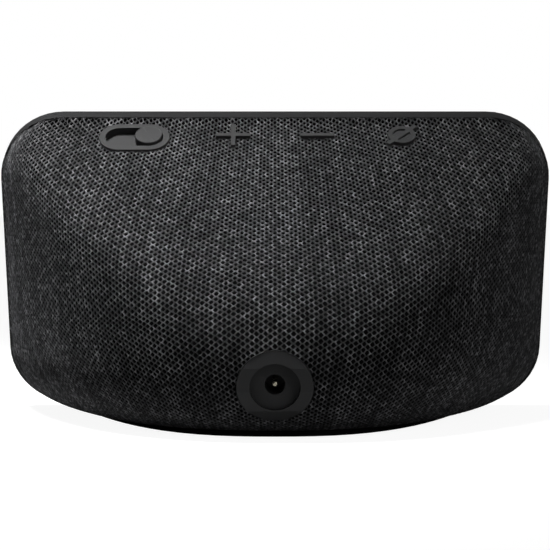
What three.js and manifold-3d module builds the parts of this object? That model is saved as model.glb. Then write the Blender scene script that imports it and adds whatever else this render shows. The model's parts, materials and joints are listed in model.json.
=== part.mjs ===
// A countertop smart display: a leaning glass front on a wedge-shaped rear housing that is wrapped
// in a knitted cover, with a camera-shutter slider, three keys on the sloping roof and a round power
// inlet low on the back.
//
// Millimetres. +Z is up, X runs across the screen and the screen faces -Y. The origin is the middle
// of the footprint, on the surface the display stands on.
import * as THREE from "three";
import { mergeVertices } from "three/addons/utils/BufferGeometryUtils.js";
import Module from "manifold-3d";

const wasm = await Module();
wasm.setup();

// ---------------------------------------------------------------- driving dimensions
const WIDTH = 147;
const HEIGHT = 82;
const DEPTH = 91;
const LEAN = THREE.MathUtils.degToRad(19.7); // how far the screen leans back from upright
const GAP = 0.3; // clearance between pieces that touch or pass one another

// front frame and screen stack, measured inwards from the face of the screen
const FRAME_DEPTH = 5;
const FRAME_LIP = 0.9; // rim of frame seen round the glass
const CORNER = 17.2; // corner radius of the frame
const FACE_BOTTOM = 2.9; // height of the lower edge of the face
const GLASS_THICKNESS = 1.1;
const LCD = { width: 127, height: 64, thickness: 1.4, rise: -0.8 }; // rise: above the middle
const LEDGE = { side: 6, end: 4 }; // what the frame laps over the back of the screen stack
const BACKLIGHT = { thickness: 1.1, margin: 1 };
const BRACKET = { width: 136.4, height: 60, thickness: 0.8, corner: 5, screwInset: 1.9, screwRow: 22 };
const CLIP = { width: 6, thickness: 1.4, depth: 4, root: 0.5, columns: [-40, 0, 40] };
const UPPER_CLIP = { x: -59, fall: 7.2 };

// rear housing
const RIM_STEP = 0.7; // how far the cover starts inside the edge of the frame
const COVER_THICKNESS = 0.9;
const SHELL_THICKNESS = 2.2;
const ROOF_SLOPE = THREE.MathUtils.degToRad(38.7); // fall of the roof below level
const ROOF_BLEND = 19; // how broadly the roof rolls over into the wall
const PLAN_POWER = 2.4; // shape of the back seen from above: |x| to this power,
const PLAN_FULLNESS = 0.8; // and the depth to this one
const BODY_BOTTOM = 1.5;
const WAIST_HEIGHT = 25; // height at which the back reaches furthest out
const WAIST_RADIUS = 27; // lean-in of the wall below the waist
const ROLL_LOSS = 0.35; // what the roll-over takes off the wall at its furthest point
const HEEL_ANGLE = THREE.MathUtils.degToRad(30); // lean of the wall where the heel begins

// foot, seen from below; front and start run back from the front of the display, heel from its back
const FOOT = { halfWidth: 54, front: 17, heel: 20, start: 8, power: 2.6, thickness: 1.2 };
const HEM = 4; // how far the cover is tucked under the foot
const BASE_PLATE_THICKNESS = 1.7;
const BASE_SCREW = { head: 2, headHeight: 0.8, shank: 1, length: 6, recess: 0.1 };
const BASE_BOSS = { radius: 3.2, top: 11, cover: 1.4 };
const BASE_SCREWS = [
  [-34, 31.5],
  [34, 31.5],
  [-22, 51.5],
  [22, 51.5],
]; // X, and the distance from the front

// keys and slider on the roof
const KEY_SIZE = 9;
const KEY_MARGIN = 2.8; // from the top edge of the roof to the keys
const KEY_PITCH = 22.1;
const KEY_SHIFT = -0.1; // of the row of keys, off the middle
const KEY_PROUD = 0.7;
const KEY_BAR = 1.15;
const KEY_ROUNDING = 0.3;
const KEY_TRAVEL = 0.6;
const KEY_FLANGE = { thickness: 1, lap: 0.6, corner: 2, barLap: 1.5 };
const MUTE = { ring: 3.65, bar: 1.3, slash: 10.6, recess: 0.5, angle: THREE.MathUtils.degToRad(45) };
const SWITCH = { size: 4.2, height: 1.2, plunger: 0.6, radius: 1.1 };
const KEY_BOARD = { width: 60, height: 6.4, thickness: 1 };
const MICROPHONE = { width: 3, height: 2.4, thickness: 1 };
const SLOT = { length: 15.2, width: 7.7, depth: 1.95, floor: 1.2, wall: 0.85, lip: 1.6, proud: 0.35 };
const SLOT_DROP = 0.6; // from the row of keys down the slope to the slider
const SLIDER = { radius: 3.55, proud: 1.15, end: 33.15 }; // end: where the knob rests, in X
const STEM = { length: 2.2, width: 1.5, offset: 2.4 }; // offset: down the slope from the knob's middle
const CARRIAGE = { length: 10, width: 4, thickness: 1.2, offset: 3 };

// power inlet
const JACK = { height: 14, ring: 9.3, well: 6.15, depth: 3.7, proud: 0.15 };
const JACK_DROOP = THREE.MathUtils.degToRad(7);
const JACK_HOLE = { radius: 2.5, depth: 8, pin: 0.8, end: 1.5 };
const JACK_BODY = { width: 11, height: 10 };
const JACK_TUBE_WALL = 1.4;

// loudspeaker
const SPEAKER = {
  radius: 22.8,
  rim: 3, // outer flange of the basket
  surround: 3, // width of the surround, between the rim and the cone
  coneDepth: 5,
  coneWall: 0.5,
  dome: 7,
  capHeight: 2.5,
  depth: 11,
  flange: 1.4,
  steel: 1.2,
  hub: 4,
  magnet: 14,
  magnetHeight: 6,
};
const VOICE_COIL = { length: 3, wall: 0.5, play: 0.6 };
const SPOKE_WINDOW = { width: 7, depth: 4, inset: 4.5 };
const SPEAKER_SEAT = 0.6; // height of the seat's ring under the roof
const GASKET_THICKNESS = 0.8;
const CHAMBER = { wall: 1.5, corner: 12, clearance: 0.9 };
const GRILLE = { hole: 2.6, pitch: 7.4, rows: 2 };

// camera and its shutter; the light sensor is in the middle
const CAMERA = { x: 56, fall: 5.6, lens: 2.4, lensThickness: 0.5, width: 7.4, height: 6.4 };
const SENSOR = { size: 2.2, thickness: 1, clearance: 0.5 };
const BLADE = { width: 15, height: 6.4, thickness: 0.4, offset: 11.5, clearance: 0.7 };
const ARM = { offset: 5.5, width: 3, height: 1.4, fall: 1.2, back: 8.6 };

// boards
const BOARD = { width: 92, height: 40, thickness: 1.2, screwInset: 4, standoff: 1 };
const HEAT_PLATE = { width: 100, height: 44, thickness: 1 };
const SMALL_SCREW = { head: 1.7, headHeight: 1, shank: 0.8, length: 3.6 };
const CAN = { width: 34, height: 24, depth: 2.4, wall: 0.4, x: -14 };
const CHIP = { width: 13, height: 10, thickness: 1, x: 18, rise: 4 };
const ANTENNA = { width: 5, height: 30, proud: 0.8 };
const RIBBON = { thickness: 0.3, x: -34, width: 10, clearance: 2.6, tail: 8, slot: 1.5 };
const KEY_RIBBON = { x: 36, y: 60, width: 8, length: 16 };
const WIRE_RADIUS = 0.7;

// ---------------------------------------------------------------- worked-out sizes
const FACE_HEIGHT = (HEIGHT - FACE_BOTTOM) / Math.cos(LEAN);
const FRONT = -DEPTH / 2;
const SHELL_INSET = COVER_THICKNESS + GAP;
const INNER_INSET = SHELL_INSET + SHELL_THICKNESS;
const RIM_DEPTH = FRAME_DEPTH + GAP; // depth of the housing's front edge behind the face
const KEY_ROW = KEY_MARGIN + KEY_SIZE / 2; // down the slope from the top edge of the roof
const SLOT_ROW = KEY_ROW + SLOT_DROP;
const SLOT_CENTRE = SLIDER.end + (SLOT.length - SLOT.width) / 2;
const SLIDER_TRAVEL = SLOT.length - SLOT.width;
const THROUGH = 20; // how far a cutting tool runs on past what it cuts
const ABOVE = 6; // how far a tool for the roof or the back reaches out of the cover
const UNDER = 3; // and how far it reaches in under the roof
const OVERLAP = 0.2; // how far two joined solids of one piece run into each other

// ---------------------------------------------------------------- helpers for solids
const HAIR = 0.01;

function solidOf(geometry, place = new THREE.Matrix4()) {
  const bare = geometry.index ? geometry.toNonIndexed() : geometry.clone();
  bare.deleteAttribute("normal");
  bare.deleteAttribute("uv");
  bare.applyMatrix4(place);
  const merged = mergeVertices(bare, 1e-4);
  return new wasm.Manifold(
    new wasm.Mesh({
      numProp: 3,
      vertProperties: merged.attributes.position.array,
      triVerts: new Uint32Array(merged.index.array),
    }),
  );
}

function geometryOf(solid) {
  const mesh = solid.getMesh();
  const geometry = new THREE.BufferGeometry();
  const positions = new Float32Array(mesh.numVert * 3);
  for (let i = 0; i < mesh.numVert; i++) {
    const start = i * mesh.numProp;
    positions.set(mesh.vertProperties.subarray(start, start + 3), i * 3);
  }
  geometry.setAttribute("position", new THREE.BufferAttribute(positions, 3));
  geometry.setIndex(new THREE.BufferAttribute(new Uint32Array(mesh.triVerts), 1));
  geometry.computeVertexNormals();
  return geometry;
}

const cut = (solid, ...tools) => tools.reduce((left, tool) => left.subtract(tool), solid);
const join = (...solids) => solids.reduce((whole, next) => whole.add(next));
const moved = (x, y, z) => new THREE.Matrix4().makeTranslation(x, y, z);

function boxAt(width, height, depth, x = 0, y = 0, z = 0) {
  return solidOf(new THREE.BoxGeometry(width, height, depth), moved(x, y, z));
}

// A cylinder whose axis is Z, from z0 up to z1.
function rod(radius, z0, z1, x = 0, y = 0, sides = 20) {
  const geometry = new THREE.CylinderGeometry(radius, radius, z1 - z0, sides);
  geometry.rotateX(Math.PI / 2);
  return solidOf(geometry, moved(x, y, (z0 + z1) / 2));
}

// A prism of any outline, from z0 up to z1.
function prism(shape, z0, z1, segments = 6) {
  const options = { depth: z1 - z0, bevelEnabled: false, curveSegments: segments };
  return solidOf(new THREE.ExtrudeGeometry(shape, options), moved(0, 0, z0));
}

function roundedRect(width, height, radius, x = 0, y = 0) {
  const shape = new THREE.Shape();
  const right = width / 2 - radius;
  const top = height / 2 - radius;
  shape.absarc(x + right, y + top, radius, 0, Math.PI / 2);
  shape.absarc(x - right, y + top, radius, Math.PI / 2, Math.PI);
  shape.absarc(x - right, y - top, radius, Math.PI, Math.PI * 1.5);
  shape.absarc(x + right, y - top, radius, Math.PI * 1.5, Math.PI * 2);
  return shape;
}

// A pill is a rounded rectangle whose ends are half circles; a hair is left so that no side vanishes.
const pill = (length, width, x = 0) => roundedRect(length, width, width / 2 - HAIR, x);

// A turned solid about Z from [radius, z] pairs, which start and end on the axis or close on themselves.
function turned(profile, sides = 24) {
  const points = profile.map(([radius, z]) => new THREE.Vector2(radius, z));
  if (THREE.ShapeUtils.area(points) < 0) points.reverse(); // anticlockwise, so that faces look out
  const geometry = new THREE.LatheGeometry(points, sides);
  geometry.rotateX(Math.PI / 2);
  return solidOf(geometry);
}

// A cable of round section through the given points.
function cable(points, radius, steps) {
  const path = new THREE.CatmullRomCurve3(points.map((p) => new THREE.Vector3(...p)));
  const section = new THREE.Shape().absarc(0, 0, radius, 0, Math.PI * 2);
  const options = { steps, extrudePath: path, curveSegments: 4, bevelEnabled: false };
  return solidOf(new THREE.ExtrudeGeometry(section, options));
}

// ---------------------------------------------------------------- the housing's outer surface
const rimY = (z) => FRONT + (z - FACE_BOTTOM) * Math.tan(LEAN) + FRAME_DEPTH / Math.cos(LEAN);
const RIM_TOP = HEIGHT - FRAME_DEPTH * Math.sin(LEAN) - RIM_STEP * Math.cos(LEAN);
const ROOF_Y = rimY(RIM_TOP);

// The sizes of the housing once its surface is set in by a distance.
function housingSizes(inset) {
  const bottom = BODY_BOTTOM + inset;
  const waistRadius = WAIST_RADIUS - inset;
  const heelTop = WAIST_HEIGHT - waistRadius * Math.sin(HEEL_ANGLE);
  return {
    bottom,
    top: RIM_TOP - (inset * Math.cos(LEAN)) / Math.cos(ROOF_SLOPE - LEAN),
    halfWidth: WIDTH / 2 - RIM_STEP - inset,
    corner: CORNER - RIM_STEP - inset,
    rear: DEPTH / 2 + ROLL_LOSS - inset,
    roofDrop: inset / Math.cos(ROOF_SLOPE),
    waistRadius,
    heelTop,
    heelRadius: (heelTop - bottom) / (1 - Math.sin(HEEL_ANGLE)),
  };
}

// Half the width of the housing where it meets the frame, at a height.
function rimHalfWidth(sizes, z) {
  const toEdge = Math.min(sizes.top - z, z - sizes.bottom) / Math.cos(LEAN);
  const inCorner = sizes.corner - Math.min(toEdge, sizes.corner);
  return sizes.halfWidth - sizes.corner + Math.sqrt(sizes.corner ** 2 - inCorner ** 2);
}

// How far the back wall stands in from its furthest point, at a height.
function tuck(sizes, z) {
  const { waistRadius, heelTop, heelRadius, bottom } = sizes;
  if (z >= WAIST_HEIGHT) return 0;
  if (z >= heelTop) return waistRadius - Math.sqrt(waistRadius ** 2 - (WAIST_HEIGHT - z) ** 2);
  const below = Math.min(bottom + heelRadius - z, heelRadius);
  const aboveHeel = waistRadius * (1 - Math.cos(HEEL_ANGLE));
  return aboveHeel + heelRadius * Math.cos(HEEL_ANGLE) - Math.sqrt(heelRadius ** 2 - below ** 2);
}

// The lesser of two depths, rolled over where they are close. It still vanishes where either does.
function rolledMin(a, b) {
  const blend = ROOF_BLEND * Math.tanh((a + b) / ROOF_BLEND) + 1e-9;
  const share = Math.max(blend - Math.abs(a - b), 0) / blend;
  return Math.min(a, b) - (share ** 3 * blend) / 6;
}

// How far back the wall and the roof stand behind the rim; across runs from -1 to 1.
function depthsAt(sizes, across, z) {
  const wall = sizes.rear - tuck(sizes, z) - rimY(z);
  const round = wall * (1 - Math.abs(across) ** PLAN_POWER) ** PLAN_FULLNESS;
  const roof = ROOF_Y + (RIM_TOP - sizes.roofDrop - z) / Math.tan(ROOF_SLOPE) - rimY(z);
  return [Math.max(round, 0), Math.max(roof, 0)];
}

// A point of the surface; up runs from 0 at the bottom to 1 at the top.
function surfacePoint(sizes, across, up) {
  const z = sizes.bottom + ((sizes.top - sizes.bottom) * (1 - Math.cos(Math.PI * up))) / 2;
  const [wall, roof] = depthsAt(sizes, across, z);
  return new THREE.Vector3(rimHalfWidth(sizes, z) * across, rimY(z) + rolledMin(wall, roof), z);
}

// How far the surface has rolled off below the plane of the roof, at a place on the roof.
function rollOff(sizes, x, along) {
  const z = RIM_TOP - along * Math.sin(ROOF_SLOPE);
  const [wall, roof] = depthsAt(sizes, x / rimHalfWidth(sizes, z), z);
  return (roof - rolledMin(wall, roof)) * Math.sin(ROOF_SLOPE);
}

// The housing as a closed volume, its surface set in by a distance. It runs on forwards past the
// frame, so that a plane can cut it cleanly.
function housingVolume(inset) {
  const columns = 24;
  const rows = 16;
  const sizes = housingSizes(inset);
  const rings = [];
  for (let j = 0; j <= rows; j++) {
    const ring = [];
    for (let i = 0; i <= columns; i++) {
      const across = Math.sin((Math.PI / 2) * ((2 * i) / columns - 1));
      ring.push(surfacePoint(sizes, across, j / rows));
    }
    const forward = new THREE.Vector3(0, -30, 0);
    ring.push(ring[columns].clone().add(forward), ring[0].clone().add(forward));
    rings.push(ring);
  }
  const count = columns + 3;
  const index = [];
  for (let j = 0; j < rows; j++) {
    for (let i = 0; i < count; i++) {
      const a = j * count + i;
      const b = j * count + ((i + 1) % count);
      index.push(a, a + count, b, b, a + count, b + count);
    }
  }
  for (let i = 1; i < count - 1; i++) {
    const top = rows * count;
    index.push(0, i, i + 1, top, top + i + 1, top + i);
  }
  const positions = rings.flat().flatMap((p) => [p.x, p.y, p.z]);
  const geometry = new THREE.BufferGeometry();
  geometry.setAttribute("position", new THREE.Float32BufferAttribute(positions, 3));
  geometry.setIndex(index);
  return solidOf(geometry);
}

// ---------------------------------------------------------------- the pieces' own frames
// Screen: X across, Y up the face, Z out of the face; its origin is the middle of the lower edge.
const screenFrame = new THREE.Group();
screenFrame.position.set(0, FRONT, FACE_BOTTOM);
screenFrame.rotation.x = Math.PI / 2 - LEAN;

// Roof: X across, Y down the slope, Z out of the cover; its origin is the middle of the top edge.
const roofFrame = new THREE.Group();
roofFrame.position.set(0, ROOF_Y, RIM_TOP);
roofFrame.rotation.x = -ROOF_SLOPE;

// Jack: X across, Z the way the plug leaves; its origin is on the cover.
const jackFrame = new THREE.Group();
jackFrame.position.set(0, DEPTH / 2 - tuck(housingSizes(0), JACK.height), JACK.height);
jackFrame.rotation.x = -Math.PI / 2 - JACK_DROOP;

const whole = new THREE.Group();
whole.add(screenFrame, roofFrame, jackFrame);
whole.updateMatrixWorld(true);
const inWorld = (solid, frame) => solid.transform(frame.matrixWorld.elements);

function material(colour, roughness, metalness = 0) {
  return new THREE.MeshStandardMaterial({ color: colour, roughness, metalness });
}

const FINISH = {
  knit: material(0x2b2c2e, 0.95),
  trim: material(0x2e2f30, 0.55),
  key: material(0x3a3b3b, 0.6),
  shell: material(0x17181a, 0.7),
  glass: material(0x050506, 0.05),
  lens: material(0x0a0d18, 0.05),
  rubber: material(0x111112, 0.85),
  steel: material(0xa8aaac, 0.35, 1),
  aluminium: material(0xb9bbbd, 0.4, 1),
  brass: material(0xd8cfae, 0.3, 1),
  board: material(0x14472b, 0.6),
  chip: material(0x1a1a1c, 0.5),
  magnet: material(0x3b3d40, 0.5, 0.4),
  cone: material(0x1d1d1f, 0.9),
  foam: material(0x303032, 0.95),
  diffuser: material(0xe9eaec, 0.6),
  flex: material(0xb5651d, 0.5),
  shutter: material(0xe4e4e0, 0.5),
};

function piece(name, solid, finish, frame = whole) {
  const mesh = new THREE.Mesh(geometryOf(solid), finish.clone());
  mesh.name = name;
  frame.add(mesh);
}

// A cylinder between two places on Z, given in either order.
function rodBetween(radius, one, other, x, y, sides) {
  return rod(radius, Math.min(one, other), Math.max(one, other), x, y, sides);
}

// A screw along Z whose head's inner side is at z: up is 1 if the head is above its shank, else -1.
function screw({ head, headHeight, shank, length }, x, y, z, up) {
  const top = z + up * headHeight;
  const socketFloor = z + up * headHeight * 0.4;
  const body = join(
    rodBetween(head, z, top, x, y, 12),
    rodBetween(shank, z, z - up * length, x, y, 8),
  );
  return cut(body, rodBetween(head / 2, socketFloor, top + up, x, y, 6));
}

// ---------------------------------------------------------------- front frame and screen stack
const faceRect = (inset) =>
  roundedRect(WIDTH - 2 * inset, FACE_HEIGHT - 2 * inset, CORNER - inset, 0, FACE_HEIGHT / 2);
const slab = (width, height, back, front, x, y) =>
  boxAt(width, height, front - back, x, y, (front + back) / 2);

const SCREEN_Y = FACE_HEIGHT / 2 + LCD.rise;
const CAMERA_Y = FACE_HEIGHT - CAMERA.fall;
const glassBack = -GLASS_THICKNESS - GAP;
const lcdBack = glassBack - LCD.thickness;
const lightBack = lcdBack - GAP - BACKLIGHT.thickness;
const bracketBack = -RIM_DEPTH - BRACKET.thickness;
const bladeBack = glassBack - GAP - BLADE.thickness;
const bladeX = SLIDER.end + BLADE.offset;
const lensFront = bladeBack - GAP;
const lensBack = lensFront - CAMERA.lensThickness;
const screwTip = bracketBack - GAP + SMALL_SCREW.length;
const screwHole = ([x, y]) =>
  rod(SMALL_SCREW.shank + GAP, -THROUGH, screwTip + 2 * GAP, x, y, 12);

// Four places, symmetrical about X = 0 and about a height.
function fourPlaces(x, y, middle) {
  return [-1, 1].flatMap((side) => [-1, 1].map((row) => [side * x, middle + row * y]));
}

const BRACKET_SCREWS = fourPlaces(BRACKET.width / 2 - BRACKET.screwInset, BRACKET.screwRow, SCREEN_Y);

// The lower clips pass just above the floor of the housing.
const housingFloor = BODY_BOTTOM + INNER_INSET + GAP - FACE_BOTTOM;
const clipDrop = (FRAME_DEPTH + CLIP.depth) * Math.sin(LEAN);
const clipY = (housingFloor + clipDrop) / Math.cos(LEAN) + CLIP.thickness / 2;
const clipPlaces = [
  ...CLIP.columns.map((x) => [x, clipY]),
  [UPPER_CLIP.x, FACE_HEIGHT - UPPER_CLIP.fall],
];

// The heat plate and the board stand just above the lower clips, and the display's ribbon passes
// over them.
const BOARD_Y = clipY + CLIP.thickness / 2 + GAP + HEAT_PLATE.height / 2;
const ribbonY = BOARD_Y + HEAT_PLATE.height / 2 + RIBBON.clearance;

function clip([x, y]) {
  return slab(CLIP.width, CLIP.thickness, -FRAME_DEPTH - CLIP.depth, -FRAME_DEPTH + CLIP.root, x, y);
}

function cameraBay() {
  const width = BLADE.width + SLIDER_TRAVEL + 2 * BLADE.clearance;
  const height = BLADE.height + 2 * GAP;
  return slab(width, height, -THROUGH, 0, bladeX + SLIDER_TRAVEL / 2, CAMERA_Y);
}

function frontFrame() {
  const sensorSize = SENSOR.size + 2 * SENSOR.clearance;
  const openings = [
    prism(faceRect(FRAME_LIP), glassBack, 1),
    slab(LCD.width + 2 * GAP, LCD.height + 2 * GAP, lightBack - GAP, 0, 0, SCREEN_Y),
    slab(LCD.width - 2 * LEDGE.side, LCD.height - 2 * LEDGE.end, -THROUGH, 0, 0, SCREEN_Y),
    slab(sensorSize, sensorSize, -THROUGH, 0, 0, CAMERA_Y),
    cameraBay(),
    ...BRACKET_SCREWS.map(screwHole),
  ];
  return cut(join(prism(faceRect(0), -FRAME_DEPTH, 0), ...clipPlaces.map(clip)), ...openings);
}

function displayBracket() {
  const outline = roundedRect(BRACKET.width, BRACKET.height, BRACKET.corner, 0, SCREEN_Y);
  const ribbonSlot = slab(RIBBON.width + RIBBON.slot, RIBBON.slot, -THROUGH, 0, RIBBON.x, ribbonY);
  return cut(prism(outline, bracketBack, -RIM_DEPTH, 4), ribbonSlot, ...BRACKET_SCREWS.map(screwHole));
}

function backlight() {
  const width = LCD.width - 2 * BACKLIGHT.margin;
  const height = LCD.height - 2 * BACKLIGHT.margin;
  return slab(width, height, lightBack, lcdBack - GAP, 0, SCREEN_Y);
}

// The blade that covers the lens, and the arm that ties it to the slider's carriage.
function cameraShutter() {
  const bladeFront = bladeBack + BLADE.thickness;
  const armX = SLIDER.end + ARM.offset;
  const armY = CAMERA_Y - ARM.fall;
  return join(
    slab(BLADE.width, BLADE.height, bladeBack, bladeFront, bladeX, CAMERA_Y),
    slab(ARM.width, ARM.height, -ARM.back, bladeFront - BLADE.thickness / 2, armX, armY),
  );
}

const lcd = slab(LCD.width, LCD.height, lcdBack, glassBack - GAP, 0, SCREEN_Y);
const lens = rod(CAMERA.lens, lensBack, lensFront, CAMERA.x, CAMERA_Y);
const cameraBody = slab(CAMERA.width, CAMERA.height, -FRAME_DEPTH, lensBack - GAP, CAMERA.x, CAMERA_Y);
const sensorFront = -FRAME_DEPTH + SENSOR.thickness;
const sensor = slab(SENSOR.size, SENSOR.size, -FRAME_DEPTH, sensorFront, 0, CAMERA_Y);
piece("front_frame", frontFrame(), FINISH.trim, screenFrame);
piece("cover_glass", prism(faceRect(FRAME_LIP + GAP), -GLASS_THICKNESS, 0), FINISH.glass, screenFrame);
piece("lcd_panel", lcd, FINISH.chip, screenFrame);
piece("backlight", backlight(), FINISH.diffuser, screenFrame);
piece("display_bracket", displayBracket(), FINISH.steel, screenFrame);
BRACKET_SCREWS.forEach(([x, y], i) => {
  const made = screw(SMALL_SCREW, x, y, bracketBack - GAP, -1);
  piece(`bracket_screw_${i + 1}`, made, FINISH.steel, screenFrame);
});
piece("camera_lens", lens, FINISH.lens, screenFrame);
piece("camera_module", cameraBody, FINISH.chip, screenFrame);
piece("light_sensor", sensor, FINISH.chip, screenFrame);
piece("camera_shutter", cameraShutter(), FINISH.shutter, screenFrame);

// ---------------------------------------------------------------- main board and heat plate
const heatFront = bracketBack - SMALL_SCREW.headHeight - 2 * GAP;
const heatBack = heatFront - HEAT_PLATE.thickness;
const boardFront = heatBack - BOARD.standoff;
const boardBack = boardFront - BOARD.thickness;
const BOARD_SCREWS = fourPlaces(
  BOARD.width / 2 - BOARD.screwInset,
  BOARD.height / 2 - BOARD.screwInset,
  BOARD_Y,
);

function shieldCan() {
  const back = boardBack - GAP - CAN.depth;
  const insideWidth = CAN.width - 2 * CAN.wall;
  const insideHeight = CAN.height - 2 * CAN.wall;
  return cut(
    slab(CAN.width, CAN.height, back, boardBack - GAP, CAN.x, BOARD_Y),
    slab(insideWidth, insideHeight, back + CAN.wall, 0, CAN.x, BOARD_Y),
  );
}

function memoryChip() {
  const front = boardBack - GAP;
  return slab(CHIP.width, CHIP.height, front - CHIP.thickness, front, CHIP.x, BOARD_Y + CHIP.rise);
}

// The antenna stands against the edge of the board.
function antenna() {
  const x = (BOARD.width + ANTENNA.width) / 2 + GAP;
  return slab(ANTENNA.width, ANTENNA.height, boardBack - ANTENNA.proud, boardFront, x, BOARD_Y);
}

const screwedPlate = ({ width, height }, back, front) =>
  cut(slab(width, height, back, front, 0, BOARD_Y), ...BOARD_SCREWS.map(screwHole));
piece("heat_plate", screwedPlate(HEAT_PLATE, heatBack, heatFront), FINISH.aluminium, screenFrame);
piece("main_board", screwedPlate(BOARD, boardBack, boardFront), FINISH.board, screenFrame);
BOARD_SCREWS.forEach(([x, y], i) => {
  const made = screw(SMALL_SCREW, x, y, boardBack - GAP, -1);
  piece(`board_screw_${i + 1}`, made, FINISH.steel, screenFrame);
});
piece("shield_can", shieldCan(), FINISH.steel, screenFrame);
piece("memory_chip", memoryChip(), FINISH.chip, screenFrame);
piece("radio_antenna", antenna(), FINISH.brass, screenFrame);

// ---------------------------------------------------------------- keys on the roof
const shellBack = -INNER_INSET; // inner side of the housing's roof
const flangeTop = shellBack - GAP;
const flangeBack = flangeTop - KEY_FLANGE.thickness;
const plungerTop = flangeBack - KEY_TRAVEL - GAP;
const switchTop = plungerTop - SWITCH.plunger;
const switchBack = switchTop - SWITCH.height;
const boardTop = switchBack - GAP;
const KEYS = {
  plus: KEY_SHIFT + KEY_PITCH / 2,
  minus: KEY_SHIFT - KEY_PITCH / 2,
  mute: KEY_SHIFT - KEY_PITCH * 1.5,
};

// A plus sign, one corner and one arm's end at a time, a quarter turn after another.
function plusOutline(grow) {
  const arm = KEY_SIZE / 2 + grow;
  const bar = KEY_BAR / 2 + grow;
  const points = [];
  for (let turn = 0; turn < 4; turn++) {
    const angle = (turn * Math.PI) / 2;
    for (const [x, y] of [[arm, -bar], [arm, bar], [bar, bar]]) {
      points.push(new THREE.Vector2(x, y).rotateAround(new THREE.Vector2(), angle));
    }
  }
  return new THREE.Shape(points);
}

const minusOutline = (grow) =>
  roundedRect(KEY_SIZE + 2 * grow, KEY_BAR + 2 * grow, KEY_ROUNDING + grow);

// The mute key's whole outline: a disc crossed by a slash that overshoots it at both ends.
function muteSolid(grow, bottom, top) {
  const slash = solidOf(
    new THREE.BoxGeometry(MUTE.slash + 2 * grow, MUTE.bar + 2 * grow, top - bottom),
    moved(0, 0, (top + bottom) / 2).multiply(new THREE.Matrix4().makeRotationZ(MUTE.angle)),
  );
  return join(rod(MUTE.ring + grow, bottom, top, 0, 0, 28), slash);
}

function muteKey() {
  const body = muteSolid(0, flangeTop - OVERLAP, KEY_PROUD);
  const recess = cut(
    rod(MUTE.ring - MUTE.bar, KEY_PROUD - MUTE.recess, KEY_PROUD + 1, 0, 0, 24),
    muteSolid(0, KEY_PROUD - 1, KEY_PROUD + 2).intersect(slashBar()),
  );
  return cut(body, recess);
}

function slashBar() {
  const turn = new THREE.Matrix4().makeRotationZ(MUTE.angle);
  return solidOf(new THREE.BoxGeometry(MUTE.slash, MUTE.bar, THROUGH), turn);
}

// Every key stands on a flange that keeps it from falling out of the housing.
function keySolids() {
  const flange = (outline) => prism(outline, flangeBack, flangeTop, 4);
  const wide = KEY_SIZE + 2 * KEY_FLANGE.lap;
  const plusFlange = roundedRect(wide, wide, KEY_FLANGE.corner);
  const minusFlange = roundedRect(wide, KEY_BAR + 2 * KEY_FLANGE.barLap, KEY_FLANGE.barLap);
  const muteFlange = rod(MUTE.ring + KEY_FLANGE.barLap, flangeBack, flangeTop, 0, 0, 24);
  const stem = flangeTop - OVERLAP;
  return {
    plus: join(prism(plusOutline(0), stem, KEY_PROUD), flange(plusFlange)),
    minus: join(prism(minusOutline(0), stem, KEY_PROUD, 3), flange(minusFlange)),
    mute: join(muteKey(), muteFlange),
  };
}

// The openings for the keys, through the cover and the housing.
function keyOpenings() {
  const bottom = shellBack - UNDER;
  const shapes = {
    plus: prism(plusOutline(GAP), bottom, ABOVE),
    minus: prism(minusOutline(GAP), bottom, ABOVE, 3),
    mute: muteSolid(GAP, bottom, ABOVE),
  };
  return Object.entries(shapes).map(([key, solid]) => {
    return inWorld(solid.translate([KEYS[key], KEY_ROW, 0]), roofFrame);
  });
}

for (const [key, solid] of Object.entries(keySolids())) {
  piece(`button_${key}`, solid.translate([KEYS[key], KEY_ROW, 0]), FINISH.key, roofFrame);
  const body = slab(SWITCH.size, SWITCH.size, switchBack, switchTop, KEYS[key], KEY_ROW);
  const plunger = rod(SWITCH.radius, switchTop - OVERLAP, plungerTop, KEYS[key], KEY_ROW, 16);
  piece(`switch_${key}`, join(body, plunger), FINISH.steel, roofFrame);
}
const keyBoardX = (KEYS.plus + KEYS.mute) / 2;
const keyBoard = slab(
  KEY_BOARD.width,
  KEY_BOARD.height,
  boardTop - KEY_BOARD.thickness,
  boardTop,
  keyBoardX,
  KEY_ROW,
);
piece("key_board", keyBoard, FINISH.board, roofFrame);
[KEYS.plus, KEYS.minus].forEach((keyX, i) => {
  const { width, height, thickness } = MICROPHONE;
  const x = keyX - KEY_PITCH / 2;
  const microphone = slab(width, height, switchBack, switchBack + thickness, x, KEY_ROW);
  piece(`microphone_${i + 1}`, microphone, FINISH.steel, roofFrame);
});

// ---------------------------------------------------------------- slider that moves the shutter
const slotFloor = SLOT.proud - SLOT.depth;
const slotUnder = slotFloor - SLOT.floor;
const lipBack = -SHELL_INSET + GAP;
const bezelPill = (grow, bottom, top) =>
  prism(pill(SLOT.length + 2 * grow, SLOT.width + 2 * grow, SLOT_CENTRE), bottom, top);

function sliderBezel() {
  const lip = bezelPill(SLOT.lip, lipBack, SLOT.proud);
  const cup = bezelPill(SLOT.wall, slotUnder, lipBack + OVERLAP);
  const slitLength = SLIDER_TRAVEL + STEM.length + 2 * GAP;
  const slitWidth = STEM.width + 2 * GAP;
  const slit = slab(slitLength, slitWidth, -THROUGH, ABOVE, SLOT_CENTRE, STEM.offset);
  return cut(join(lip, cup), bezelPill(0, slotFloor, ABOVE), slit).translate([0, SLOT_ROW, 0]);
}

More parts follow.
